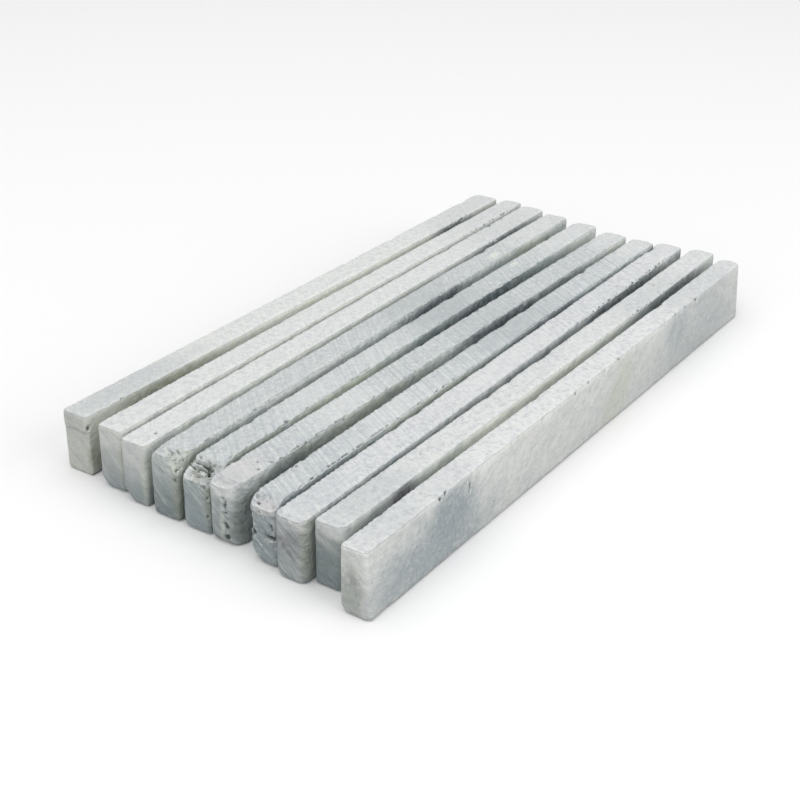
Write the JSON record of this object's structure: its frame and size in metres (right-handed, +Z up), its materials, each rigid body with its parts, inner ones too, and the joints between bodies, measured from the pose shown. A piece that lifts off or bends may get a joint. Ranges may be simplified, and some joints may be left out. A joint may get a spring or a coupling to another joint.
{
  "type": "soapstone chalk sticks",
  "caption": "Row of loose sawn soapstone chalk sticks standing on their narrow edges side by side; each stick lifts out of the row.",
  "frame": {"origin": "under the middle of the row, at the height that the sticks stand on", "axes": "+X along the sticks from their near, broken ends to their far ends; +Y across the row from stick_10 towards stick_01; +Z up"},
  "size_m": [0.1367, 0.0676, 0.0113],
  "materials": {
    "soapstone_pale": "sawn, chalky, slightly translucent, warm white with blue-grey clouds",
    "soapstone_grey": "sawn, chalky, cool grey with darker diagonal veins"
  },
  "bodies": {
    "stick_01": {"stick_01": "soapstone_pale"},
    "stick_02": {"stick_02": "soapstone_pale"},
    "stick_03": {"stick_03": "soapstone_pale"},
    "stick_04": {"stick_04": "soapstone_grey"},
    "stick_05": {"stick_05": "soapstone_grey"},
    "stick_06": {"stick_06": "soapstone_grey"},
    "stick_07": {"stick_07": "soapstone_grey"},
    "stick_08": {"stick_08": "soapstone_grey"},
    "stick_09": {"stick_09": "soapstone_pale"},
    "stick_10": {"stick_10": "soapstone_pale"}
  },
  "joints": [
    {"name": "stick_01_lift", "type": "slide", "parent": "stick_06", "child": "stick_01", "axis": [0, 0, 1], "range_m": [0, 0.03]},
    {"name": "stick_02_lift", "type": "slide", "parent": "stick_06", "child": "stick_02", "axis": [0, 0, 1], "range_m": [0, 0.03]},
    {"name": "stick_03_lift", "type": "slide", "parent": "stick_06", "child": "stick_03", "axis": [0, 0, 1], "range_m": [0, 0.03]},
    {"name": "stick_04_lift", "type": "slide", "parent": "stick_06", "child": "stick_04", "axis": [0, 0, 1], "range_m": [0, 0.03]},
    {"name": "stick_05_lift", "type": "slide", "parent": "stick_06", "child": "stick_05", "axis": [0, 0, 1], "range_m": [0, 0.03]},
    {"name": "stick_07_lift", "type": "slide", "parent": "stick_06", "child": "stick_07", "axis": [0, 0, 1], "range_m": [0, 0.03]},
    {"name": "stick_08_lift", "type": "slide", "parent": "stick_06", "child": "stick_08", "axis": [0, 0, 1], "range_m": [0, 0.03]},
    {"name": "stick_09_lift", "type": "slide", "parent": "stick_06", "child": "stick_09", "axis": [0, 0, 1], "range_m": [0, 0.03]},
    {"name": "stick_10_lift", "type": "slide", "parent": "stick_06", "child": "stick_10", "axis": [0, 0, 1], "range_m": [0, 0.03]}
  ]
}
